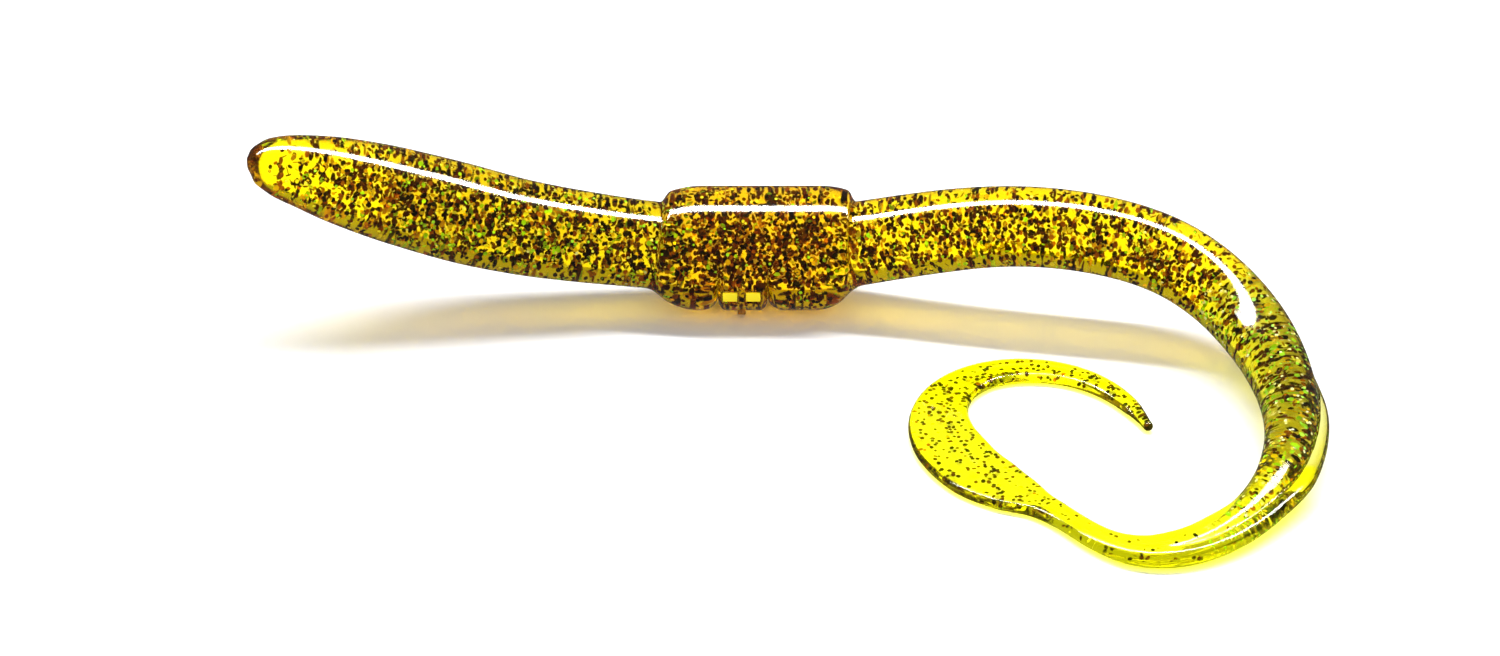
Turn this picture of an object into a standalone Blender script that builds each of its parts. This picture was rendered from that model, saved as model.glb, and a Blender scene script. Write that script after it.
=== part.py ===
"""Soft plastic ribbon-tail worm, lying on its egg sac and its curled tail.

The moulding is one flexible body, so it is built as a chain of flex zones:
rounded links along one smooth centreline, with a hinge between each two.
Millimetres here, metres in the scene. +X runs from head to tail, +Z is up,
and the origin is the middle of the flat under the rear lobe of the egg sac.
"""

import math

import bmesh
import bpy
import numpy as np
from mathutils import Matrix, Vector

MM = 0.001

# ---- driving dimensions, millimetres ----
GAP = 0.36  # clearance between two neighbouring flex zones
DOME = 1.6  # how far each round zone's end is domed, so that it can turn
BLADE_DOME = 1.35  # the same for the flat zones of the tail
BLADE_HALF = 0.5  # half the tail blade's thickness
SAC_RADIUS = 5.16
SAC_AXIS_Z = 5.02  # lower than the radius: the belly is pressed flat where it rests
SAC_FRONT, SAC_REAR = -13.15, 4.45
BUTTON_FRONT, BUTTON_REAR = -8.15, -3.6  # the gate button's span along the sac
LOBE_GAP = 0.34
BUTTON_DEPTH = 2.35  # the saddle meets the button this far from the sac's axis
PIP_RADIUS, PIP_OUT = 0.34, 0.42  # the trimmed gate stub, and how far it stands out
WINDOW = (1.25, 1.5, 0.3)  # the two flat recesses either side of the gate post

# Centreline from nose to tail tip: x, y, z, then the round core's radius, the
# reach to the outside of the curl and the reach to its inside.
NOSE_TO_TAIL = [
    (-47.15, -4.10, 15.50, 0.55, 0.55, 0.55),
    (-46.80, -4.05, 15.50, 1.30, 1.30, 1.30),
    (-46.30, -4.00, 15.44, 1.78, 1.78, 1.78),
    (-45.50, -3.85, 15.28, 2.25, 2.25, 2.25),
    (-44.30, -3.60, 14.92, 2.70, 2.70, 2.70),
    (-42.60, -3.30, 14.35, 3.10, 3.10, 3.10),
    (-39.70, -2.75, 13.20, 3.65, 3.65, 3.65),
    (-34.80, -1.90, 11.20, 4.10, 4.10, 4.10),
    (-29.80, -1.35, 9.35, 4.23, 4.23, 4.23),
    (-24.80, -1.00, 7.80, 4.07, 4.07, 4.07),
    (-19.70, -0.70, 6.70, 3.90, 3.90, 3.90),
    (-14.60, -0.35, 5.80, 3.74, 3.74, 3.74),
    (-9.50, -0.05, 5.15, 3.70, 3.70, 3.70),
    (-4.70, 0.00, 5.02, 3.70, 3.70, 3.70),
    (0.30, -0.05, 5.15, 3.65, 3.65, 3.65),
    (4.90, -0.65, 6.15, 3.57, 3.57, 3.57),
    (10.80, -1.85, 7.80, 3.51, 3.51, 3.51),
    (15.80, -2.80, 8.80, 3.42, 3.42, 3.42),
    (20.80, -3.75, 9.10, 3.37, 3.37, 3.37),
    (25.80, -4.80, 8.65, 3.32, 3.32, 3.32),
    (30.00, -6.15, 7.65, 3.25, 3.25, 3.25),
    (33.60, -8.60, 6.20, 3.13, 3.13, 3.13),
    (36.40, -12.60, 4.75, 2.97, 2.97, 2.97),
    (38.20, -18.70, 3.70, 2.62, 2.72, 2.62),
    (38.50, -25.30, 3.00, 2.22, 3.05, 2.22),
    (37.10, -31.30, 2.28, 1.83, 3.05, 1.85),
    (34.60, -35.80, 1.60, 1.38, 2.45, 1.75),
    (31.70, -38.80, 1.15, 1.00, 2.25, 2.10),
    (28.60, -40.55, 0.88, 0.72, 2.05, 2.15),
    (25.30, -40.80, 0.78, 0.52, 1.75, 1.80),
    (22.30, -39.10, 0.74, 0.50, 1.30, 1.30),
    (20.20, -36.60, 0.66, 0.50, 1.18, 1.18),
    (18.20, -34.15, 0.56, 0.50, 1.45, 1.35),
    (15.80, -31.80, 0.50, 0.50, 2.65, 2.35),
    (13.20, -29.10, 0.50, 0.50, 3.15, 3.05),
    (11.40, -25.90, 0.50, 0.50, 3.10, 3.05),
    (10.40, -22.40, 0.50, 0.50, 2.75, 2.70),
    (10.45, -18.90, 0.50, 0.50, 2.30, 2.25),
    (11.80, -15.70, 0.50, 0.50, 1.95, 1.90),
    (14.40, -13.45, 0.50, 0.50, 1.70, 1.65),
    (18.00, -12.70, 0.50, 0.50, 1.55, 1.50),
    (21.50, -13.60, 0.50, 0.50, 1.32, 1.28),
    (24.40, -15.95, 0.50, 0.50, 1.05, 1.02),
    (26.20, -18.80, 0.50, 0.48, 0.78, 0.75),
    (27.30, -21.60, 0.50, 0.40, 0.42, 0.42),
]
# The rolled bead along the tail's outer edge: its radius at the same stations.
BEAD = {23: 0.0, 24: 0.5, 25: 0.7, 26: 0.78, 27: 0.8, 28: 0.8, 29: 0.74, 30: 0.66, 31: 0.55, 32: 0.5}

# Flex zones: name, the stations they run between (fractions lie between two
# stations), colour. The egg sac takes the place of the stretch it leaves out.
ROUND_ZONES = [
    ("nose", 0.0, 5.72, (0.93, 0.72, 0.02)),
    ("front_body_3", 5.72, 7.66, (0.80, 0.50, 0.02)),
    ("front_body_2", 7.66, 9.45, (0.70, 0.42, 0.03)),
    ("front_body_1", 9.45, 11.24, (0.74, 0.45, 0.03)),
    ("rear_body_1", 14.96, 16.55, (0.70, 0.42, 0.03)),
    ("rear_body_2", 16.55, 18.25, (0.68, 0.40, 0.03)),
    ("rear_body_3", 18.25, 20.1, (0.72, 0.44, 0.03)),
    ("rear_body_4", 20.1, 22.1, (0.74, 0.48, 0.03)),
]
FLAT_ZONES = [
    ("tail_wrist_1", 22.1, 23.9, (0.50, 0.40, 0.06)),
    ("tail_wrist_2", 23.9, 26.15, (0.50, 0.40, 0.06)),
    ("tail_blade_1", 26.15, 28.75, (0.93, 0.85, 0.02)),
    ("tail_blade_2", 28.75, 31.5, (0.95, 0.87, 0.02)),
    ("tail_blade_3", 31.5, 34.4, (0.95, 0.87, 0.02)),
    ("tail_blade_4", 34.4, 37.0, (0.95, 0.87, 0.02)),
    ("tail_blade_5", 37.0, 39.0, (0.95, 0.87, 0.02)),
    ("tail_blade_6", 39.0, 41.0, (0.95, 0.87, 0.02)),
    ("tail_tip", 41.0, 44.0, (0.95, 0.87, 0.02)),
]
DOME_STEPS = (0.012, 0.07, 0.22, 0.5, 1.0)  # shares of a dome's depth that get a ring

# Down and towards the side the gate is on: the belly line the gate stub leaves by.
GATE = Vector((0.0, -0.5, -math.sqrt(0.75)))


def natural_spline(knots, values):
    """Second derivatives of the natural cubic through values at knots."""
    n = len(knots)
    h = np.diff(knots)
    a = np.zeros((n, n))
    b = np.zeros((n, values.shape[1]))
    a[0, 0] = a[-1, -1] = 1.0
    for i in range(1, n - 1):
        a[i, i - 1], a[i, i], a[i, i + 1] = h[i - 1], 2 * (h[i - 1] + h[i]), h[i]
        b[i] = 6 * ((values[i + 1] - values[i]) / h[i] - (values[i] - values[i - 1]) / h[i - 1])
    return np.linalg.solve(a, b)


STATIONS = np.array(NOSE_TO_TAIL, float)
KNOTS = np.concatenate([[0.0], np.cumsum(np.linalg.norm(np.diff(STATIONS[:, :3], axis=0), axis=1))])
BENDS = natural_spline(KNOTS, STATIONS[:, :3])
BEADS = np.array([BEAD.get(i, 0.0) for i in range(len(STATIONS))])


def length_at(station):
    """Distance along the centreline of a station number, whole or not."""
    return float(np.interp(station, np.arange(len(KNOTS)), KNOTS))


def centre(s):
    """Point and unit tangent on the centreline at distance s."""
    i = int(np.clip(np.searchsorted(KNOTS, s) - 1, 0, len(KNOTS) - 2))
    h = KNOTS[i + 1] - KNOTS[i]
    a, b = (KNOTS[i + 1] - s) / h, (s - KNOTS[i]) / h
    p0, p1, m0, m1 = STATIONS[i, :3], STATIONS[i + 1, :3], BENDS[i], BENDS[i + 1]
    point = a * p0 + b * p1 + ((a**3 - a) * m0 + (b**3 - b) * m1) * h * h / 6
    slope = (p1 - p0) / h + ((1 - 3 * a * a) * m0 + (3 * b * b - 1) * m1) * h / 6
    return Vector(point), Vector(slope).normalized()


def size_at(s):
    """Core radius, outer reach, inner reach and bead radius at distance s."""
    return [float(np.interp(s, KNOTS, STATIONS[:, k])) for k in (3, 4, 5)] + [float(np.interp(s, KNOTS, BEADS))]


def ring_places(start, end, dome, first_domed=True, pitch=2.2):
    """Distances of a zone's rings and how far each is drawn in by the domed ends."""
    places = {}
    for share in DOME_STEPS:
        pull = math.sqrt(1 - (1 - share) ** 2)
        if first_domed:
            places[start + share * dome] = pull
        places[end - share * dome] = pull
    low = start + dome if first_domed else start
    count = max(1, round((end - dome - low) / pitch))
    for i in range(0 if not first_domed else 1, count):
        places[low + (end - dome - low) * i / count] = 1.0
    return sorted(places.items())


def add_object(name, mesh, colour, collection, roughness=0.22):
    material = bpy.data.materials.new(name + "_plastisol")
    material.use_nodes = True
    shader = material.node_tree.nodes["Principled BSDF"]
    shader.inputs["Base Color"].default_value = (*colour, 1.0)
    shader.inputs["Roughness"].default_value = roughness
    shader.inputs["Metallic"].default_value = 0.0
    material.diffuse_color = (*colour, 1.0)
    mesh.materials.clear()
    mesh.materials.append(material)
    obj = bpy.data.objects.new(name, mesh)
    collection.objects.link(obj)
    return obj


def set_origin(obj, pivot):
    """Moves the object's origin to its hinge without moving its shape."""
    obj.data.transform(Matrix.Translation(-pivot))
    obj.location = pivot


def mesh_from_curve(name, curve):
    """The welded mesh of a bevelled curve."""
    carrier = bpy.data.objects.new(name + "_curve", curve)
    bpy.context.scene.collection.objects.link(carrier)
    graph = bpy.context.evaluated_depsgraph_get()
    mesh = bpy.data.meshes.new_from_object(carrier.evaluated_get(graph))
    bpy.data.objects.remove(carrier)
    bm = bmesh.new()
    bm.from_mesh(mesh)
    bmesh.ops.remove_doubles(bm, verts=bm.verts, dist=1e-6)
    bmesh.ops.recalc_face_normals(bm, faces=bm.faces)
    bm.to_mesh(mesh)
    bm.free()
    mesh.name = name
    return mesh


def round_zone(name, start, end, colour, collection, nose=False):
    """A round link: a bevelled curve along the centreline, drawn in at its ends."""
    s0 = length_at(start) + (0.0 if nose else GAP / 2)
    s1 = length_at(end) - GAP / 2
    curve = bpy.data.curves.new(name, "CURVE")
    curve.dimensions = "3D"
    curve.bevel_depth = MM
    curve.bevel_resolution = 4
    curve.use_fill_caps = True
    curve.twist_mode = "Z_UP"
    spline = curve.splines.new("POLY")
    if nose:
        places = [(s, 1.0) for s in KNOTS[:6]] + [(s, p) for s, p in ring_places(s0, s1, DOME, False) if s > KNOTS[5] + 0.4]
    else:
        places = ring_places(s0, s1, DOME)
    spline.points.add(len(places) - 1)
    for point, (s, pull) in zip(spline.points, places):
        p, _ = centre(s)
        point.co = (*(p * MM), 1.0)
        point.radius = size_at(s)[0] * pull
    mesh = mesh_from_curve(name, curve)
    mesh.shade_smooth()
    return add_object(name, mesh, colour, collection)


def height(v, core, outer, inner, bead):
    """Half height of the tail's section at v, measured from its core towards the outside."""
    edge = max(0.0, min(outer - v, v + inner))
    plate = min(BLADE_HALF, core)
    high = math.sqrt(max(0.0, plate**2 - max(0.0, plate - edge) ** 2))
    if abs(v) < core:
        high = max(high, math.sqrt(core**2 - v * v))
    if bead > 0 and abs(v - (outer - bead)) < bead:
        high = max(high, math.sqrt(bead**2 - (v - outer + bead) ** 2))
    return high


def flat_zone(name, start, end, colour, collection, last=False):
    """A link of the wrist or tail: a loft from the round core to the flat, beaded blade."""
    half = 9
    s0, s1 = length_at(start) + GAP / 2, length_at(end) - (0.0 if last else GAP / 2)
    bm = bmesh.new()
    rings = []
    dome = DOME if start < 26 else BLADE_DOME
    for s, pull in ring_places(s0, s1, dome, pitch=1.9):
        p, along = centre(s)
        out = Vector((0, 0, 1)).cross(along).normalized()
        up = along.cross(out).normalized()
        core, outer, inner, bead = size_at(s)
        ring = []
        turns = [math.pi * j / half for j in range(half + 1)]
        tops = [((outer - inner) / 2 + (outer + inner) / 2 * math.cos(t)) for t in turns]
        rise = pull if core > BLADE_HALF * 1.3 else 0.55 + 0.45 * pull
        for v in tops:
            ring.append((v * pull, height(v, core, outer, inner, bead) * rise))
        for v in tops[-2:0:-1]:
            ring.append((v * pull, -height(v, core, outer, inner, bead) * rise))
        rings.append([bm.verts.new((p + out * v + up * z) * MM) for v, z in ring])
    for a, b in zip(rings, rings[1:]):
        for j in range(len(a)):
            k = (j + 1) % len(a)
            bm.faces.new((a[j], a[k], b[k], b[j]))
    bm.faces.new(rings[0])
    bm.faces.new(rings[-1][::-1])
    bmesh.ops.recalc_face_normals(bm, faces=bm.faces)
    mesh = bpy.data.meshes.new(name)
    bm.to_mesh(mesh)
    bm.free()
    mesh.shade_smooth()
    mesh.set_sharp_from_angle(angle=math.radians(40))
    return add_object(name, mesh, colour, collection)


def turned(name, profile):
    """A profile of (x, radius) turned about the sac's axis with a Screw modifier."""
    mesh = bpy.data.meshes.new(name)
    mesh.from_pydata([(x * MM, 0.0, r * MM) for x, r in profile], [(i, i + 1) for i in range(len(profile) - 1)], [])
    obj = bpy.data.objects.new(name, mesh)
    bpy.context.scene.collection.objects.link(obj)
    screw = obj.modifiers.new("Turn", "SCREW")
    screw.axis = "X"
    screw.steps = screw.render_steps = 24
    screw.use_merge_vertices = True
    screw.merge_threshold = 1e-5
    graph = bpy.context.evaluated_depsgraph_get()
    body = bpy.data.meshes.new_from_object(obj.evaluated_get(graph))
    bpy.data.objects.remove(obj)
    bpy.data.meshes.remove(mesh)
    bm = bmesh.new()
    bm.from_mesh(body)
    bmesh.ops.remove_doubles(bm, verts=bm.verts, dist=1e-6)
    bmesh.ops.recalc_face_normals(bm, faces=bm.faces)
    bm.to_mesh(body)
    bm.free()
    body.transform(Matrix.Translation((0, 0, SAC_AXIS_Z * MM)))
    body.name = name
    return body


def box_cutter(name, size, matrix, cutters):
    bm = bmesh.new()
    bmesh.ops.create_cube(bm, size=1.0)
    bmesh.ops.scale(bm, vec=Vector(size) * MM, verts=bm.verts)
    mesh = bpy.data.meshes.new(name)
    bm.to_mesh(mesh)
    bm.free()
    obj = bpy.data.objects.new(name, mesh)
    obj.matrix_world = matrix
    obj.hide_render = True
    obj.display_type = "WIRE"
    cutters.objects.link(obj)
    return obj


def boolean(obj, cutter, operation):
    step = obj.modifiers.new(cutter.name, "BOOLEAN")
    step.operation = operation
    step.solver = "EXACT"
    step.object = cutter


def facing(direction, place):
    """A matrix at place (mm) whose Z points along direction and whose X stays along the sac."""
    z = direction.normalized()
    x = Vector((1, 0, 0))
    y = z.cross(x).normalized()
    turn = Matrix((x, y, z)).transposed().to_4x4()
    return Matrix.Translation(place * MM) @ turn


def egg_sac(collection, cutters):
    radius = SAC_RADIUS
    axis = Vector((0, 0, SAC_AXIS_Z))
    amber = (0.68, 0.42, 0.03)
    ground = box_cutter("ground_cutter", (60, 20, 4), Matrix.Translation((0, 0, -2 * MM)), cutters)

    f = SAC_FRONT
    front = turned("egg_sac_front_lobe", [
        (f, 0.0), (f + 0.06, 0.8), (f + 0.22, 1.8), (f + 0.55, 2.8), (f + 1.05, 3.6), (f + 1.7, 4.25),
        (f + 2.5, 4.72), (f + 3.4, 5.02), (f + 4.2, radius), (BUTTON_FRONT - LOBE_GAP - 0.35, radius - 0.03),
        (BUTTON_FRONT - LOBE_GAP, radius - 0.4), (BUTTON_FRONT - LOBE_GAP, 0.0)])
    r = SAC_REAR
    rear = turned("egg_sac_rear_lobe", [
        (BUTTON_REAR + LOBE_GAP, 0.0), (BUTTON_REAR + LOBE_GAP, radius - 0.4), (BUTTON_REAR + LOBE_GAP + 0.35, radius - 0.03),
        (-1.5, radius), (0.9, radius - 0.05), (r - 2.6, 4.95), (r - 1.9, 4.6), (r - 1.3, 4.1), (r - 0.85, 3.4),
        (r - 0.45, 2.6), (r - 0.18, 1.7), (r - 0.05, 0.8), (r, 0.0)])
    barrel = [(BUTTON_FRONT, 0.0), (BUTTON_FRONT, radius - 0.35), (BUTTON_FRONT + 0.35, radius - 0.02),
              (BUTTON_REAR - 0.35, radius - 0.02), (BUTTON_REAR, radius - 0.35), (BUTTON_REAR, 0.0)]
    made = []
    for mesh in (front, rear):
        obj = add_object(mesh.name, mesh, amber, collection)
        boolean(obj, ground, "DIFFERENCE")
        made.append(obj)

    middle = (BUTTON_FRONT + BUTTON_REAR) / 2
    deep = 12.0
    lower = box_cutter("button_space", (12, 24, deep), facing(GATE, axis + Vector((middle, 0, 0)) + GATE * (BUTTON_DEPTH + deep / 2)), cutters)
    upper = box_cutter("saddle_space", (12, 24, deep), facing(GATE, axis + Vector((middle, 0, 0)) + GATE * (BUTTON_DEPTH + LOBE_GAP - deep / 2)), cutters)
    saddle = add_object("egg_sac_saddle", turned("egg_sac_saddle", barrel), amber, collection)
    boolean(saddle, lower, "DIFFERENCE")
    button = add_object("gate_button", turned("gate_button", barrel), (0.88, 0.70, 0.03), collection)
    boolean(button, upper, "DIFFERENCE")
    boolean(button, ground, "DIFFERENCE")

    bm = bmesh.new()
    bmesh.ops.create_cone(bm, cap_ends=True, segments=12, radius1=PIP_RADIUS * MM, radius2=PIP_RADIUS * MM * 0.8, depth=(PIP_OUT + 1.2) * MM)
    mesh = bpy.data.meshes.new("gate_pip")
    bm.to_mesh(mesh)
    bm.free()
    pip = bpy.data.objects.new("gate_pip_tool", mesh)
    pip.matrix_world = facing(GATE, axis + Vector((middle, 0, 0)) + GATE * (radius + (PIP_OUT - 1.2) / 2))
    pip.hide_render = True
    pip.display_type = "WIRE"
    cutters.objects.link(pip)
    boolean(button, pip, "UNION")

    look = Vector((0.0, -0.907, -0.422))  # the recesses face forward of the gate stub
    wide, tall, deep = WINDOW
    for side in (-1, 1):
        place = axis + Vector((middle + side * 1.2, 0, 0)) + look * (radius - deep + 1.0)
        cutter = box_cutter("window_cutter_%d" % (side + 2), (wide, tall, 2.0), facing(look, place), cutters)
        boolean(button, cutter, "DIFFERENCE")
    made += [saddle, button]
    return made


def main():
    for obj in list(bpy.data.objects):
        bpy.data.objects.remove(obj)
    collection = bpy.data.collections.new("soft_plastic_worm")
    cutters = bpy.data.collections.new("cutters")
    for group in (collection, cutters):
        bpy.context.scene.collection.children.link(group)

    for name, start, end, colour in ROUND_ZONES:
        obj = round_zone(name, start, end, colour, collection, nose=name == "nose")
        near = start if start > 12 else end  # each zone hinges at the end nearer the sac
        set_origin(obj, centre(length_at(near))[0] * MM)
    for name, start, end, colour in FLAT_ZONES:
        obj = flat_zone(name, start, end, colour, collection, last=name == "tail_tip")
        set_origin(obj, centre(length_at(start))[0] * MM)
    egg_sac(collection, cutters)


main()
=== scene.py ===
"""Looks of the soft plastic worm: a clear amber skin with real glitter flakes inside it.

The skin follows the same centreline and sections as the CAD zones. It is made
in stretches that each cross one hinge, and their end loops meet mid-zone.
"""
import math

import bpy
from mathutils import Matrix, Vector
import numpy as np


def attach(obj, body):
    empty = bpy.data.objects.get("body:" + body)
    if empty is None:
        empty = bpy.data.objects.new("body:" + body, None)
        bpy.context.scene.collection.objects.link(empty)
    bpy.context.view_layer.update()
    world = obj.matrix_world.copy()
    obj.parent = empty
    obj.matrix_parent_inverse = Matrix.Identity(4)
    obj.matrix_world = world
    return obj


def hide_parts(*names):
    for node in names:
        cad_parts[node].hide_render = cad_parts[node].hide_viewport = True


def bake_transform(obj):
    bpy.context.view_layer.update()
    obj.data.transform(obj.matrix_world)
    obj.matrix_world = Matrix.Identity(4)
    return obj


MM = 0.001
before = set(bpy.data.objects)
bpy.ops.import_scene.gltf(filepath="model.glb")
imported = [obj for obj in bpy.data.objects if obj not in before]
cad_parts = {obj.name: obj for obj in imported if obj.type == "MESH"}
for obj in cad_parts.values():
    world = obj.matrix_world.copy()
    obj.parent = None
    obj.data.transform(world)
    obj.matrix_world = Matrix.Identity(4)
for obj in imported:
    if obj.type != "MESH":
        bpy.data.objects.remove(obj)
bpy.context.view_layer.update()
rng = np.random.default_rng(7)

# ------------------------------------------------------------------ camera
TARGET_CENTRE = (-5.267, -4.667, 0.0)
DIST = 400.0
EL = math.radians(30)
cam_data = bpy.data.cameras.new("Camera")
cam_data.type = "PERSP"
cam_data.lens = 113.0
cam_data.sensor_width = 36.0
cam_data.clip_start, cam_data.clip_end = 0.01, 20.0
cam = bpy.data.objects.new("Camera", cam_data)
bpy.context.scene.collection.objects.link(cam)
cam.location = (
    TARGET_CENTRE[0] * MM,
    (TARGET_CENTRE[1] - DIST * math.cos(EL)) * MM,
    (DIST * math.sin(EL)) * MM,
)
cam.rotation_euler = (math.pi / 2 - EL, 0, 0)
bpy.context.scene.camera = cam

# ------------------------------------------------------------------ the worm's form
# centreline x, y, z, then round core radius, reach to the outside and inside of the curl (mm)
STATIONS = np.array([
    (-47.15, -4.10, 15.50, 0.55, 0.55, 0.55),
    (-46.80, -4.05, 15.50, 1.30, 1.30, 1.30),
    (-46.30, -4.00, 15.44, 1.78, 1.78, 1.78),
    (-45.50, -3.85, 15.28, 2.25, 2.25, 2.25),
    (-44.30, -3.60, 14.92, 2.70, 2.70, 2.70),
    (-42.60, -3.30, 14.35, 3.10, 3.10, 3.10),
    (-39.70, -2.75, 13.20, 3.65, 3.65, 3.65),
    (-34.80, -1.90, 11.20, 4.10, 4.10, 4.10),
    (-29.80, -1.35, 9.35, 4.23, 4.23, 4.23),
    (-24.80, -1.00, 7.80, 4.07, 4.07, 4.07),
    (-19.70, -0.70, 6.70, 3.90, 3.90, 3.90),
    (-14.60, -0.35, 5.80, 3.74, 3.74, 3.74),
    (-9.50, -0.05, 5.15, 3.70, 3.70, 3.70),
    (-4.70, 0.00, 5.02, 3.70, 3.70, 3.70),
    (0.30, -0.05, 5.15, 3.65, 3.65, 3.65),
    (4.90, -0.65, 6.15, 3.57, 3.57, 3.57),
    (10.80, -1.85, 7.80, 3.51, 3.51, 3.51),
    (15.80, -2.80, 8.80, 3.42, 3.42, 3.42),
    (20.80, -3.75, 9.10, 3.37, 3.37, 3.37),
    (25.80, -4.80, 8.65, 3.32, 3.32, 3.32),
    (30.00, -6.15, 7.65, 3.25, 3.25, 3.25),
    (33.60, -8.60, 6.20, 3.13, 3.13, 3.13),
    (36.40, -12.60, 4.75, 2.97, 2.97, 2.97),
    (38.20, -18.70, 3.70, 2.62, 2.72, 2.62),
    (38.50, -25.30, 3.00, 2.22, 3.05, 2.22),
    (37.10, -31.30, 2.28, 1.83, 3.05, 1.85),
    (34.60, -35.80, 1.60, 1.38, 2.45, 1.75),
    (31.70, -38.80, 1.15, 1.00, 2.25, 2.10),
    (28.60, -40.55, 0.88, 0.72, 2.05, 2.15),
    (25.30, -40.80, 0.78, 0.52, 1.75, 1.80),
    (22.30, -39.10, 0.74, 0.50, 1.30, 1.30),
    (20.20, -36.60, 0.66, 0.50, 1.18, 1.18),
    (18.20, -34.15, 0.56, 0.50, 1.45, 1.35),
    (15.80, -31.80, 0.50, 0.50, 2.65, 2.35),
    (13.20, -29.10, 0.50, 0.50, 3.15, 3.05),
    (11.40, -25.90, 0.50, 0.50, 3.10, 3.05),
    (10.40, -22.40, 0.50, 0.50, 2.75, 2.70),
    (10.45, -18.90, 0.50, 0.50, 2.30, 2.25),
    (11.80, -15.70, 0.50, 0.50, 1.95, 1.90),
    (14.40, -13.45, 0.50, 0.50, 1.70, 1.65),
    (18.00, -12.70, 0.50, 0.50, 1.55, 1.50),
    (21.50, -13.60, 0.50, 0.50, 1.32, 1.28),
    (24.40, -15.95, 0.50, 0.50, 1.05, 1.02),
    (26.20, -18.80, 0.50, 0.48, 0.78, 0.75),
    (27.30, -21.60, 0.50, 0.40, 0.42, 0.42),
], float)
BEAD = {24: 0.5, 25: 0.7, 26: 0.78, 27: 0.8, 28: 0.8, 29: 0.74, 30: 0.66, 31: 0.55, 32: 0.5}
BLADE_HALF = 0.5
SAC_AXIS = np.array([0.0, 0.0, 5.02])
SAC_RADIUS = 5.16
GATE = np.array([0.0, -0.5, -math.sqrt(0.75)])
LOOK = np.array([0.0, -0.907, -0.422])
NOTCHES = ((-8.0, 1.5, 0.7), (-3.75, 0.7, 1.5))  # place, then how far the rounding reaches ahead and behind
BUTTON_X = -5.875
WRINKLE = (13.1, -31.1)
WINDOWS = (-1.09, 0.87)


def natural_spline(knots, values):
    n = len(knots)
    h = np.diff(knots)
    a = np.zeros((n, n))
    b = np.zeros((n, values.shape[1]))
    a[0, 0] = a[-1, -1] = 1.0
    for i in range(1, n - 1):
        a[i, i - 1], a[i, i], a[i, i + 1] = h[i - 1], 2 * (h[i - 1] + h[i]), h[i]
        b[i] = 6 * ((values[i + 1] - values[i]) / h[i] - (values[i] - values[i - 1]) / h[i - 1])
    return np.linalg.solve(a, b)


KNOTS = np.concatenate([[0.0], np.cumsum(np.linalg.norm(np.diff(STATIONS[:, :3], axis=0), axis=1))])
BENDS = natural_spline(KNOTS, STATIONS[:, :3])
BEADS = np.array([BEAD.get(i, 0.0) for i in range(len(STATIONS))])
LAST = float(KNOTS[-1])


def at(station):
    return float(np.interp(station, np.arange(len(KNOTS)), KNOTS))


def centre(s):
    """Points and unit tangents on the centreline."""
    s = np.atleast_1d(np.asarray(s, float))
    i = np.clip(np.searchsorted(KNOTS, s) - 1, 0, len(KNOTS) - 2)
    h = (KNOTS[i + 1] - KNOTS[i])[:, None]
    a, b = (KNOTS[i + 1] - s)[:, None] / h, (s - KNOTS[i])[:, None] / h
    p0, p1, m0, m1 = STATIONS[i, :3], STATIONS[i + 1, :3], BENDS[i], BENDS[i + 1]
    p = a * p0 + b * p1 + ((a**3 - a) * m0 + (b**3 - b) * m1) * h * h / 6
    t = (p1 - p0) / h + ((1 - 3 * a * a) * m0 + (3 * b * b - 1) * m1) * h / 6
    return p, t / np.linalg.norm(t, axis=1)[:, None]


def pchip(x, y):
    """A monotone cubic through (x, y), as a function."""
    h, d = np.diff(x), np.diff(y) / np.diff(x)
    m = np.zeros(len(x))
    for i in range(1, len(x) - 1):
        if d[i - 1] * d[i] > 0:
            w1, w2 = 2 * h[i] + h[i - 1], h[i] + 2 * h[i - 1]
            m[i] = (w1 + w2) / (w1 / d[i - 1] + w2 / d[i])
    m[0], m[-1] = d[0], d[-1]

    def f(q):
        q = np.asarray(q, float)
        i = np.clip(np.searchsorted(x, q) - 1, 0, len(x) - 2)
        t = (q - x[i]) / h[i]
        return ((1 + 2 * t) * (1 - t) ** 2 * y[i] + t * (1 - t) ** 2 * h[i] * m[i]
                + t * t * (3 - 2 * t) * y[i + 1] + t * t * (t - 1) * h[i] * m[i + 1])
    return f


CORE, OUTER, INNER = (pchip(KNOTS, STATIONS[:, k]) for k in (3, 4, 5))
BEAD_AT = pchip(KNOTS, BEADS)
SAC_SHAPE = pchip(
    np.array([-14.4, -13.5, -13.1, -12.5, -11.7, -10.9, -10.0, -9.0, -6.0, 0.0, 0.9, 1.8, 2.6, 3.2, 3.7, 4.15, 4.5, 5.2]),
    np.array([0.0, 0.02, 0.22, 0.6, 0.98, 1.24, 1.42, 1.47, 1.47, 1.47, 1.45, 1.33, 1.06, 0.74, 0.42, 0.14, 0.02, 0.0]),
)


def smooth(t):
    t = np.clip(t, 0, 1)
    return t * t * (3 - 2 * t)


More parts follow.
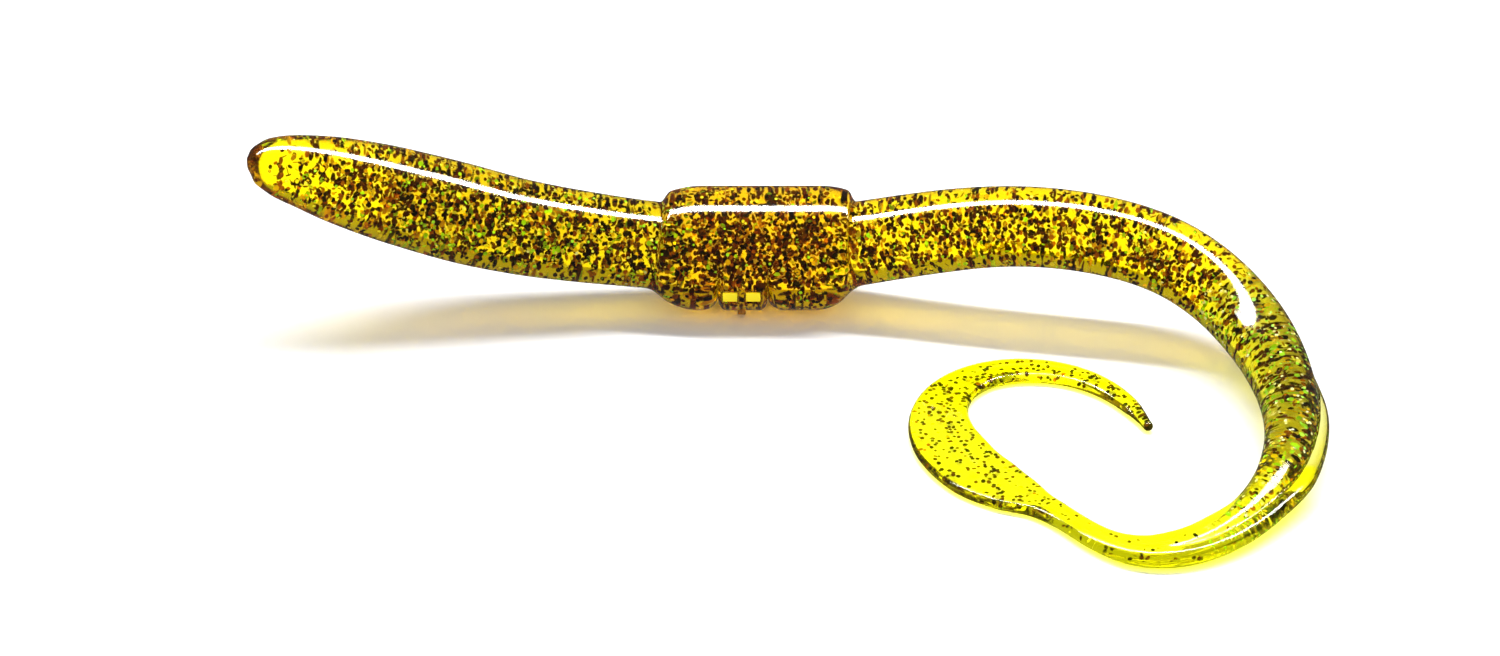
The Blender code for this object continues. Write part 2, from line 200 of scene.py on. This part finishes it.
def section(s, angle):
    """Points of the section at distances s for each angle (0 is the outside of the curl), in mm. Shape (len(s), len(angle), 3)."""
    s = np.atleast_1d(s)
    p, t = centre(s)
    out = np.cross(np.array([0, 0, 1.0]), t)
    out /= np.linalg.norm(out, axis=1)[:, None]
    up = np.cross(t, out)
    core, outer, inner, bead = CORE(s)[:, None], OUTER(s)[:, None], INNER(s)[:, None], BEAD_AT(s)[:, None]
    c, sn = np.cos(angle)[None, :], np.sin(angle)[None, :]
    v = (outer - inner) / 2 + (outer + inner) / 2 * c
    edge = np.maximum(0, np.minimum(outer - v, v + inner))
    plate = np.minimum(BLADE_HALF, core)
    high = np.sqrt(np.maximum(0, plate**2 - np.maximum(0, plate - edge) ** 2))
    around = np.sqrt(np.maximum(0, core**2 - v * v))
    k = 6.0
    rolled = np.where(bead > 0.05, np.sqrt(np.maximum(0, bead**2 - (v - outer + bead) ** 2)), 0)
    # a soft maximum, so that the core, the blade and the bead flow into each other
    flat = np.minimum(1, smooth(((outer + inner) / 2 - core) / 0.35))
    mixed = (high**k + around**k + rolled**k) ** (1 / k)
    high = flat * mixed + (1 - flat) * np.maximum(high * 0, around)
    # a plain circle where the section is only the core
    round_only = (1 - flat)
    v = np.where(round_only > 0.999, core * c, v)
    high = np.where(round_only > 0.999, core * np.abs(sn), high)
    z = np.sign(sn) * high
    pts = p[:, None, :] + out[:, None, :] * v[..., None] + up[:, None, :] * z[..., None]
    return pts, p, t, out, up


VIEW_UP = np.array([0.0, 0.5, 0.866])
SAC_MIDDLE = -4.35


def sac_axis(p):
    """The sac's own straight axis in its middle, and the worm's centreline at its ends."""
    g = smooth((np.abs(p[:, 0] - SAC_MIDDLE) - 4.5) / 5.5)[:, None]
    flat = np.stack([p[:, 0], p[:, 0] * 0, p[:, 0] * 0 + SAC_AXIS[2]], -1)
    return flat * (1 - g) + p * g


def sac_lift(x, k):
    """How far the sac stands out from the body at x; k is 1 on top and -1 below. Both ends slant a little."""
    moved = np.where(x < SAC_MIDDLE, x + 0.28 - 0.22 * k, x + 0.2 - 0.3 * k)
    return SAC_SHAPE(np.clip(moved, -14.4, 5.2)), moved


def shaped(s, angle):
    """The skin's points: the section, then the egg sac with its lobes and recesses."""
    pts, p, t, out, up = section(s, angle)
    blade = (np.atleast_1d(s) > at(31)) & (np.atleast_1d(s) < at(36))
    if blade.any():
        q = pts[blade]
        dx, dy = q[..., 0] - WRINKLE[0], q[..., 1] - WRINKLE[1]
        lift = 0.24 * np.exp(-((dx * 0.9 - dy * 0.3) / 1.0) ** 2 - ((dy + dx * 0.35) / 0.8) ** 2)
        q[..., 2] += lift * (np.sin(angle)[None, :] > 0.05)
        pts[blade] = q
    in_sac = (p[:, 0] > -15.6) & (p[:, 0] < 7.4) & (np.atleast_1d(s) < at(17))
    if in_sac.any():
        rows = np.where(in_sac)[0]
        q = pts[rows]
        axis = sac_axis(p[rows])[:, None, :] + np.zeros_like(q)
        c, sn = np.cos(angle)[None, :], np.sin(angle)[None, :]
        direction = np.stack([c * 0, c, sn], -1) + np.zeros_like(q)
        k = direction @ VIEW_UP
        lift, moved = sac_lift(p[rows, 0][:, None] + 0 * k, k)
        share = smooth(lift / 0.9)
        radius = 3.69 + lift + 0.30 * smooth(k) * share
        facing = direction @ GATE
        belly = smooth((facing - math.cos(math.radians(78))) / (math.cos(math.radians(35)) - math.cos(math.radians(78))))
        cut = 0
        for n, ahead, behind in NOTCHES:
            d = p[rows, 0] - n
            d = np.where(d < 0, -d / ahead, d / behind)
            cut = cut + 1.12 * (1 - np.sqrt(np.clip(1 - (1 - np.clip(d, 0, 1)) ** 2, 0, 1)))[:, None]
        crease = 0.16 * np.exp(-((moved - 4.35) / 0.3) ** 2) + 0.14 * np.exp(-((moved + 13.55) / 0.3) ** 2)
        radius = radius - cut * belly - crease * (0.3 + 0.7 * smooth((facing + 0.3) / 0.9))
        # the two flat-floored recesses beside the gate post
        along = direction @ LOOK
        side = direction @ np.cross(LOOK, np.array([1.0, 0, 0]))
        arc = np.arctan2(side, along) * SAC_RADIUS
        for off in WINDOWS:
            dx = np.abs(p[rows, 0] - BUTTON_X - off)[:, None] + 0 * arc
            dy = np.abs(arc - 0.1)
            inside = smooth((0.72 - dx) / 0.12) * smooth((0.76 - dy) / 0.12)
            radius = radius - 0.22 * inside
        target = axis + direction * radius[..., None]
        # the belly presses flat where it rests
        low = target[..., 2]
        target[..., 2] = np.where(low < 0.1, 0.1 - 0.1 * np.tanh((0.1 - low) / 0.1), low)
        pts[rows] = q * (1 - share[..., None]) + target * share[..., None]
    return pts


# ------------------------------------------------------------------ materials
def node_material(name):
    mat = bpy.data.materials.new(name)
    mat.use_nodes = True
    nt = mat.node_tree
    return mat, nt, nt.nodes["Principled BSDF"], nt.nodes["Material Output"]


def clear_plastic(name, tint, density, roughness=0.06, ior=1.47):
    """Glossy clear soft plastic: coloured by how deep the light goes."""
    mat, nt, p, out = node_material(name)
    p.inputs["Base Color"].default_value = (1, 1, 1, 1)
    p.inputs["Roughness"].default_value = roughness
    p.inputs["IOR"].default_value = ior
    p.inputs["Transmission Weight"].default_value = 1.0
    cap = nt.nodes.new("ShaderNodeAttribute")
    cap.attribute_name = "open_end"
    inv = nt.nodes.new("ShaderNodeMath")
    inv.operation = "SUBTRACT"
    inv.inputs[0].default_value = 1.0
    nt.links.new(cap.outputs["Fac"], inv.inputs[1])
    nt.links.new(inv.outputs[0], p.inputs["Alpha"])
    vol = nt.nodes.new("ShaderNodeVolumeAbsorption")
    vol.inputs["Color"].default_value = (*tint, 1)
    vol.inputs["Density"].default_value = density
    nt.links.new(vol.outputs[0], out.inputs["Volume"])
    # slow waviness and fine moulding texture
    coord = nt.nodes.new("ShaderNodeTexCoord")
    big = nt.nodes.new("ShaderNodeTexNoise")
    big.inputs["Scale"].default_value = 420.0
    big.inputs["Detail"].default_value = 3.0
    nt.links.new(coord.outputs["Object"], big.inputs["Vector"])
    bump = nt.nodes.new("ShaderNodeBump")
    bump.inputs["Strength"].default_value = 0.035
    bump.inputs["Distance"].default_value = 0.00006
    nt.links.new(big.outputs["Fac"], bump.inputs["Height"])
    nt.links.new(bump.outputs[0], p.inputs["Normal"])
    mat.use_transparent_shadow = True
    return mat


def flake_material(name, colour, metallic=0.85, roughness=0.32, specular=0.5):
    mat, nt, p, out = node_material(name)
    p.inputs["Specular IOR Level"].default_value = specular
    p.inputs["Base Color"].default_value = (*colour, 1)
    p.inputs["Metallic"].default_value = metallic
    p.inputs["Roughness"].default_value = roughness
    return mat


def absorbing(name, red, green, blue, roughness=0.08, ior=1.47):
    """A clear plastic by how much of each colour it takes up per metre."""
    return clear_plastic(name, (1 - red / blue, 1 - green / blue, 0.0), blue, roughness, ior)


# one plastisol in copies per zone: its amber is its own colour, while the darker olive front and olive-grey wrist
# copies are painted shade of the thick body lying in its own shadow, and the brighter lemon tail and bead copies are
# painted light passing through the thin tail
PLASTIC = {
    "nose": absorbing("nose_plastisol", 6, 52, 3400),
    "front": absorbing("front_plastisol", 38, 92, 3000),
    "sac": absorbing("sac_plastisol", 8, 74, 3400),
    "rear": absorbing("rear_plastisol", 12, 68, 3400),
    "wrist": absorbing("wrist_plastisol", 74, 96, 900),
    "bead": absorbing("bead_plastisol", 6, 16, 5000, ior=1.38),
    "tail": absorbing("tail_plastisol", 10, 20, 7000, ior=1.36),
}


def plastic_of(node):
    if node == "nose":
        return PLASTIC["nose"]
    if node.startswith("front"):
        return PLASTIC["front"]
    if node == "egg_sac":
        return PLASTIC["sac"]
    if node.startswith("rear"):
        return PLASTIC["rear"]
    if node.startswith("tail_wrist"):
        return PLASTIC["wrist"]
    return PLASTIC["bead"] if node == "tail_blade_1" else PLASTIC["tail"]


FLAKES = [
    flake_material("flake_black", (0.010, 0.005, 0.004), 0.0, 0.5, 0.15),
    flake_material("flake_brown", (0.070, 0.016, 0.005), 0.0, 0.5, 0.15),
    flake_material("flake_copper", (0.36, 0.11, 0.015), 0.6, 0.4),
    flake_material("flake_gold", (0.95, 0.66, 0.05), 0.4, 0.35),
    flake_material("flake_green", (0.45, 0.98, 0.18), 0.2, 0.35),
    flake_material("flake_pale", (1.0, 0.98, 0.75), 0.1, 0.3),
]
# an opaque bright yellow for the recess floors: painted light, standing in for light from the floor shining through the
# clear plastic
LIT_PANE_PAINTED = flake_material("window_painted_glow", (0.98, 0.80, 0.02), 0.0, 0.12)
POST_BROWN = flake_material("post_brown", (0.30, 0.14, 0.02), 0.0, 0.3)


# ------------------------------------------------------------------ mesh helpers
def link(obj):
    bpy.context.scene.collection.objects.link(obj)
    return obj


def make_mesh(name, verts, faces, materials, face_mats=None, smooth_shade=True):
    mesh = bpy.data.meshes.new(name)
    mesh.from_pydata([tuple(v) for v in (np.asarray(verts) * MM)], [], faces)
    for m in materials:
        mesh.materials.append(m)
    if face_mats is not None:
        mesh.polygons.foreach_set("material_index", np.asarray(face_mats, np.int32))
    mesh.polygons.foreach_set("use_smooth", np.full(len(faces), smooth_shade))
    mesh.update()
    return link(bpy.data.objects.new(name, mesh))


TIP = {0: 0.16, 1: 0.9}  # how far the nose and tail tips are rounded beyond the first and last rings


def skin_piece(name, s0, s1, node, pitch=0.3, around=80, first=False, last=False):
    n = max(4, int(round((s1 - s0) / pitch)))
    s = np.linspace(s0, s1, n + 1)
    angle = np.linspace(0, 2 * math.pi, around, endpoint=False)
    pts = shaped(s, angle)
    verts = pts.reshape(-1, 3)
    rings = len(s)
    faces = []
    for i in range(rings - 1):
        a, b = i * around, (i + 1) * around
        for j in range(around):
            k = (j + 1) % around
            faces.append((a + j, a + k, b + k, b + j))
    side = len(faces)
    verts = [tuple(v) for v in verts]
    caps = []
    for end, row in ((0, 0), (1, rings - 1)):
        closed_tip = (end == 0 and first) or (end == 1 and last)
        ring = pts[row]
        p, t = centre(s[row])
        mid = ring.mean(0)
        t = t[0] * (-1 if end == 0 else 1)
        base = row * around
        if closed_tip:
            # a rounded tip: shrinking rings, then a point
            reach = np.linalg.norm(ring - mid, axis=1).mean() * TIP[end]
            prev = base
            for step in range(1, 7):
                f = step / 7 * math.pi / 2
                idx = len(verts)
                for q in ring:
                    verts.append(tuple(mid + (q - mid) * math.cos(f) + t * reach * math.sin(f)))
                for j in range(around):
                    k = (j + 1) % around
                    quad = (prev + j, prev + k, idx + k, idx + j)
                    faces.append(quad if end == 1 else quad[::-1])
                prev = idx
            tip = len(verts)
            verts.append(tuple(mid + t * reach))
            for j in range(around):
                k = (j + 1) % around
                tri = (prev + j, prev + k, tip)
                faces.append(tri if end == 1 else tri[::-1])
        else:
            tip = len(verts)
            verts.append(tuple(mid))
            for j in range(around):
                k = (j + 1) % around
                tri = (base + j, base + k, tip)
                caps.append(len(faces))
                faces.append(tri if end == 1 else tri[::-1])
    obj = make_mesh(name, verts, faces, [plastic_of(node)])
    mesh = obj.data
    attr = mesh.attributes.new("open_end", "FLOAT", "FACE")
    values = np.zeros(len(faces), np.float32)
    values[caps] = 1.0
    attr.data.foreach_set("value", values)
    # walls and end discs are all smooth faces, parted by sharp edges: light has
    # to leave the plastic through the same shader that it came in by
    pairs = np.zeros(len(mesh.edges) * 2, np.int64)
    mesh.edges.foreach_get("vertices", pairs)
    pairs = np.sort(pairs.reshape(-1, 2), axis=1)
    rim = set()
    for row, closed in ((0, first), (rings - 1, last)):
        if not closed:
            b = row * around
            rim |= {(min(b + j, b + (j + 1) % around), max(b + j, b + (j + 1) % around)) for j in range(around)}
    sharp = np.array([(int(a), int(b)) in rim for a, b in pairs])
    mesh.attributes.new("sharp_edge", "BOOLEAN", "EDGE").data.foreach_set("value", sharp)
    return obj


# ------------------------------------------------------------------ zones: which stretch crosses which hinge
CUTS = [  # child body, then the station of its hinge
    ("nose", 5.72), ("front_body_3", 7.66), ("front_body_2", 9.45), ("front_body_1", 11.24),
    ("rear_body_1", 14.96), ("rear_body_2", 16.55), ("rear_body_3", 18.25), ("rear_body_4", 20.1),
    ("tail_wrist_1", 22.1), ("tail_wrist_2", 23.9), ("tail_blade_1", 26.15), ("tail_blade_2", 28.75),
    ("tail_blade_3", 31.5), ("tail_blade_4", 34.4), ("tail_blade_5", 37.0), ("tail_blade_6", 39.0), ("tail_tip", 41.0),
]
NAMES = [n for n, _ in CUTS]
HINGE = [at(c) for _, c in CUTS]
SAC_A = float(np.interp(-10.2, STATIONS[:20, 0], KNOTS[:20]))
SAC_B = float(np.interp(1.3, STATIONS[:20, 0], KNOTS[:20]))
# boundaries between stretches
edges = [0.0]
for i in range(len(HINGE) - 1):
    if NAMES[i] == "front_body_1":
        edges += [SAC_A, SAC_B]
    else:
        edges.append((HINGE[i] + HINGE[i + 1]) / 2)
edges.append(LAST)
# zones in order: 4 front hinges, the sac, then the rest
ZONES = []
order = NAMES[:4] + ["egg_sac"] + NAMES[4:]
bodies_head_to_tail = ["nose", "front_body_3", "front_body_2", "front_body_1", "egg_sac"] + NAMES[4:]
h = 0
for i, n in enumerate(order):
    s0, s1 = edges[i], edges[i + 1]
    if n == "egg_sac":
        ZONES.append(("skin_egg_sac", s0, s1, None, None, None, "egg_sac"))
    else:
        k = i if i < 4 else i - 1
        before = bodies_head_to_tail[i] if i < 4 else bodies_head_to_tail[i - 1]
        after = bodies_head_to_tail[i + 1] if i < 4 else bodies_head_to_tail[i]
        ZONES.append((f"skin_{n}", s0, s1, before, after, HINGE[k], n))


def blend_or_ride(obj, zone):
    name, s0, s1, before, after, hinge, node = zone
    if before is None:
        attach(obj, "egg_sac")
        return
    inset = min(1.9, 0.30 * (s1 - s0))
    reach = min(hinge - s0, s1 - hinge) - inset
    reach = max(reach, 1.0)
    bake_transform(obj)


GAP = 0.006  # the skin's stretches stop this far short of each other
for zone in ZONES:
    name, s0, s1, before, after, hinge, node = zone
    first, last = s0 == 0.0, s1 == LAST
    a, b = s0 + (0 if first else GAP / 2), s1 - (0 if last else GAP / 2)
    if node == "egg_sac":
        obj = skin_piece(name, a, b, node, pitch=0.085, around=240)
        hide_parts("egg_sac_front_lobe", "egg_sac_saddle", "egg_sac_rear_lobe", "gate_button")
    else:
        near_sac = node in ("front_body_1", "rear_body_1")
        obj = skin_piece(name, a, b, node, pitch=0.12 if near_sac else 0.25, around=120 if near_sac else 88, first=first, last=last)
        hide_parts(node)
    blend_or_ride(obj, zone)


# ------------------------------------------------------------------ flakes
def hexagons(centres, normals, spins, sizes, thick=0.03):
    """Closed hexagonal flakes."""
    n = len(centres)
    ref = np.where(np.abs(normals[:, :1]) < 0.9, np.array([[1.0, 0, 0]]), np.array([[0, 1.0, 0]]))
    e1 = np.cross(normals, ref)
    e1 /= np.linalg.norm(e1, axis=1)[:, None]
    e2 = np.cross(normals, e1)
    verts = np.zeros((n, 12, 3))
    for k in range(6):
        a = spins + k * math.pi / 3
        rim = (e1 * np.cos(a)[:, None] + e2 * np.sin(a)[:, None]) * (sizes / 2)[:, None]
        verts[:, k] = centres + rim + normals * thick / 2
        verts[:, k + 6] = centres + rim - normals * thick / 2
    one = [tuple(range(6)), tuple(range(11, 5, -1))]
    one += [(k, k + 6, (k + 1) % 6 + 6, (k + 1) % 6) for k in range(6)]
    faces = [tuple(o + v for v in f) for o in range(0, n * 12, 12) for f in one]
    return verts.reshape(-1, 3), faces


# shares of black, brown, copper, gold, green and pale flakes
MIX = {
    "nose": (0.22, 0.34, 0.16, 0.18, 0.05, 0.05),
    "front": (0.33, 0.27, 0.13, 0.09, 0.10, 0.08),
    "sac": (0.32, 0.34, 0.16, 0.09, 0.04, 0.05),
    "rear": (0.27, 0.33, 0.17, 0.11, 0.04, 0.08),
    "wrist": (0.26, 0.28, 0.12, 0.10, 0.11, 0.13),
    "tail": (0.50, 0.36, 0.06, 0.04, 0.01, 0.03),
}


SPARKLES = {"nose": 8, "front": 17, "sac": 15, "rear": 9, "wrist": 17}  # per mm of length


def fill_zone(zone):
    """Flakes scattered inside one stretch of the worm."""
    name, s0, s1, before, after, hinge, node = zone
    blade = (s0 + s1) / 2 > at(26.6)
    wrist = "wrist" in node or node == "tail_blade_1"
    kind_of = "tail" if blade else "wrist" if wrist else "nose" if node == "nose" else "sac" if node == "egg_sac" else node.split("_")[0]
    length = s1 - s0
    ss = np.linspace(s0, s1, 9)
    core, outer, inner = CORE(ss).max(), OUTER(ss).max(), INNER(ss).max()
    if blade:
        per, box = 9.0, (outer + inner) * 0.5
    else:
        per, box = 4.3, (2 * core + 3.2) ** 2
    trials = int(length * box * per)
    s = rng.uniform(s0 + 0.1, s1 - 0.1, trials)
    p, t = centre(s)
    out = np.cross(np.array([0, 0, 1.0]), t)
    out /= np.linalg.norm(out, axis=1)[:, None]
    up = np.cross(t, out)
    co, ou, inn, be = CORE(s), OUTER(s), INNER(s), BEAD_AT(s)
    if blade:
        size = rng.uniform(0.24, 0.42, trials)
        v = rng.uniform(-1, 1, trials) * 0.5 * (ou + inn) + (ou - inn) / 2
        w = rng.uniform(-0.22, 0.22, trials)
        keep = (v < ou - 0.34) & (v > -inn + 0.34)
        # fewest along the narrow beaded arm, most in the paddle and beyond
        crowd = np.interp(s, [at(26.6), at(29), at(31.5), at(33), at(40), at(44)], [0.22, 0.13, 0.20, 0.60, 0.66, 0.85])
        keep &= rng.uniform(0, 1, trials) < crowd
        nrm = up + rng.normal(0, 0.22, (trials, 3))
    else:
        size = rng.uniform(0.28, 0.50, trials)
        lift = np.where(p[:, 0] < SAC_MIDDLE, SAC_SHAPE(np.clip(p[:, 0], -14.4, 5.2)), SAC_SHAPE(np.clip(p[:, 0] + 1.0, -14.4, 5.2)))
        rad = co + lift * ((s > at(10)) & (s < at(17))) - 0.24
        v = rng.uniform(-1, 1, trials) * (core + 1.6)
        w = rng.uniform(-1, 1, trials) * (core + 1.6)
        rr = np.sqrt(v * v + w * w)
        keep = rr < rad
        # crowding: the flakes are thickest towards the middle, partly as real glitter and partly as painted shade for
        # the dark band that refraction shows along the body's axis
        keep &= rng.uniform(0, 1, trials) < (1.0 - 0.86 * (rr / rad) ** 2.4)
        a = rng.uniform(0, 2 * math.pi, trials)
        nrm = out * np.cos(a)[:, None] + up * np.sin(a)[:, None] + t * rng.normal(0, 0.5, trials)[:, None]
        if node == "nose":
            keep &= rng.uniform(0, 1, trials) < 0.12 + 0.85 * smooth((s - 0.8) / 6.0)
            keep &= s > 0.7
        if wrist:
            keep &= rng.uniform(0, 1, trials) < np.interp(s, [at(21), at(26), at(27.6)], [0.95, 0.75, 0.25])
    sac = (s > at(10)) & (s < at(17))
    base = p.copy()
    base[sac] = sac_axis(p[sac])
    pos = base + out * v[:, None] + up * w[:, None]
    keep &= pos[:, 2] > 0.3
    # clear of the notches, and of the window of clear plastic behind the gate's recesses
    rel = pos - (SAC_AXIS + np.array([BUTTON_X, 0, 0]))
    for n, ahead, behind in NOTCHES:
        keep &= ~((np.abs(pos[:, 0] - n) < 0.6) & (rel @ GATE > 3.5) & sac)
    near = (np.abs(rel[:, 0]) < 2.1) & (rel @ LOOK > 4.0) & (np.abs(rel @ np.cross(LOOK, np.array([1.0, 0, 0]))) < 1.2)
    keep &= ~(near & sac)
    pos, nrm, size, s = pos[keep], nrm[keep], size[keep], s[keep]
    nrm /= np.linalg.norm(nrm, axis=1)[:, None]
    m = len(pos)
    mix = np.array(MIX[kind_of])
    kind = rng.choice(6, m, p=mix / mix.sum())
    if not blade:
        # bright flakes close under the skin
        n = int(length * SPARKLES[kind_of])
        s2 = rng.uniform(s0 + 0.1, s1 - 0.1, n)
        if node == "nose":
            s2 = s2[s2 > 3.0]
        p2, t2 = centre(s2)
        o2 = np.cross(np.array([0, 0, 1.0]), t2)
        o2 /= np.linalg.norm(o2, axis=1)[:, None]
        u2 = np.cross(t2, o2)
        in_sac = (s2 > at(10)) & (s2 < at(17))
        lift = np.where(p2[:, 0] < SAC_MIDDLE, SAC_SHAPE(np.clip(p2[:, 0] - 0.3, -14.4, 5.2)), SAC_SHAPE(np.clip(p2[:, 0] + 1.0, -14.4, 5.2)))
        r2 = (CORE(s2) + lift * in_sac) * rng.uniform(0.80, 0.955, len(s2))
        turn = rng.uniform(0, 2 * math.pi, len(s2))
        radial = o2 * np.cos(turn)[:, None] + u2 * np.sin(turn)[:, None]
        b2 = p2.copy()
        b2[in_sac] = sac_axis(p2[in_sac])
        pos2 = b2 + radial * r2[:, None]
        nrm2 = radial + rng.normal(0, 0.35, (len(s2), 3))
        rel = pos2 - (SAC_AXIS + np.array([BUTTON_X, 0, 0]))
        gate = in_sac & (rel @ LOOK > 3.6) & (np.abs(rel[:, 0]) < 3.4) & (np.abs(rel @ np.cross(LOOK, np.array([1.0, 0, 0]))) < 2.2)
        ok = (pos2[:, 2] > 0.3) & ~gate
        nrm2 /= np.linalg.norm(nrm2, axis=1)[:, None]
        pos, nrm = np.vstack([pos, pos2[ok]]), np.vstack([nrm, nrm2[ok]])
        size = np.concatenate([size, rng.uniform(0.20, 0.32, ok.sum())])
        kind = np.concatenate([kind, rng.choice([3, 4, 5], ok.sum(), p=[0.22, 0.33, 0.45] if kind_of in ("front", "wrist") else [0.32, 0.16, 0.52])])
        m = len(pos)
    verts, faces = hexagons(pos, nrm, rng.uniform(0, math.pi, m), size)
    obj = make_mesh("flakes_" + node, verts, faces, FLAKES, np.repeat(kind, 8), smooth_shade=False)
    blend_or_ride(obj, zone)
    return m


total = 0
for zone in ZONES:
    total += fill_zone(zone)
print("flakes", total)


def turned_box(name, at_mm, size, material):
    """A small slab facing LOOK, riding on the egg sac."""
    z = LOOK / np.linalg.norm(LOOK)
    x = np.array([1.0, 0, 0])
    y = np.cross(z, x)
    verts = [at_mm + x * a * size[0] / 2 + y * b * size[1] / 2 + z * c * size[2] / 2
             for a in (-1, 1) for b in (-1, 1) for c in (-1, 1)]
    faces = [(0, 1, 3, 2), (4, 6, 7, 5), (0, 4, 5, 1), (2, 3, 7, 6), (0, 2, 6, 4), (1, 5, 7, 3)]
    obj = make_mesh(name, verts, faces, [material], smooth_shade=False)
    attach(obj, "egg_sac")
    return obj


# opaque bright yellow panes on the recess floors: painted light in place of the light that shines through the clear
# plastic there
for side, off in zip("ab", WINDOWS):
    middle = SAC_AXIS + np.array([BUTTON_X + off, 0, 0]) + LOOK * (SAC_RADIUS - 0.20)
    turned_box("window_" + side, middle, (1.22, 1.22, 0.08), LIT_PANE_PAINTED)
bpy.ops.mesh.primitive_cylinder_add(vertices=32, radius=0.34 * MM, depth=0.9 * MM)
pip = bpy.context.object
pip.name = "gate_pip"
middle = SAC_AXIS + np.array([BUTTON_X - 0.1, 0, 0]) + GATE * (SAC_RADIUS - 0.08)
pip.location = Vector(middle * MM)
pip.rotation_euler = Vector(GATE).to_track_quat("Z", "Y").to_euler()
pip.data.materials.append(POST_BROWN)
bevel = pip.modifiers.new("Edge", "BEVEL")
bevel.width = 0.08 * MM
bevel.segments = 3
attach(pip, "egg_sac")

# ------------------------------------------------------------------ floor and light
scene = bpy.context.scene
scene.view_settings.view_transform = "Standard"
scene.view_settings.look = "None"
scene.cycles.max_bounces = 16
scene.cycles.transmission_bounces = 16
scene.cycles.transparent_max_bounces = 16

world = bpy.data.worlds.new("World")
scene.world = world
world.use_nodes = True
wt = world.node_tree
bg = wt.nodes["Background"]
bg.inputs["Color"].default_value = (0.92, 0.95, 1.08, 1)
bg.inputs["Strength"].default_value = 0.62

mat, nt, p, out = node_material("floor_white")
p.inputs["Base Color"].default_value = (0.93, 0.93, 0.93, 1)
p.inputs["Roughness"].default_value = 0.9
p.inputs["Specular IOR Level"].default_value = 0.0
bpy.ops.mesh.primitive_plane_add(size=4.0, location=(0, 0, -0.00005))
floor = bpy.context.object
floor.name = "floor"
floor.data.materials.append(mat)
floor.visible_glossy = False

# a dark surround that only the gloss picks up
mat, nt, p, out = node_material("dark_surround")
nt.nodes.remove(p)
glow = nt.nodes.new("ShaderNodeEmission")
glow.inputs["Color"].default_value = (0.95, 0.92, 1.0, 1)
glow.inputs["Strength"].default_value = 0.10
nt.links.new(glow.outputs[0], out.inputs["Surface"])
bpy.ops.mesh.primitive_uv_sphere_add(radius=3.0, segments=32, ring_count=16)
dome = bpy.context.object
dome.name = "dark_surround"
dome.data.materials.append(mat)
dome.visible_camera = dome.visible_diffuse = dome.visible_transmission = dome.visible_shadow = False


def area(name, size_x, size_y, place, look_at, power, diffuse=True):
    data = bpy.data.lights.new(name, "AREA")
    data.shape = "RECTANGLE"
    data.size, data.size_y = size_x, size_y
    data.energy = power
    obj = link(bpy.data.objects.new(name, data))
    obj.location = place
    d = np.array(look_at) - np.array(place)
    obj.rotation_euler = Vector(d).to_track_quat("-Z", "Y").to_euler()
    if not diffuse:
        obj.visible_diffuse = False
        obj.visible_transmission = False
    return obj


area("key", 0.7, 0.045, (0.02, 0.11, 0.50), (0.0, -0.01, 0.0), 4.1)
area("streak", 1.3, 0.14, (0.0, 0.12, 0.52), (0.0, -0.005, 0.0), 18.0, diffuse=False)
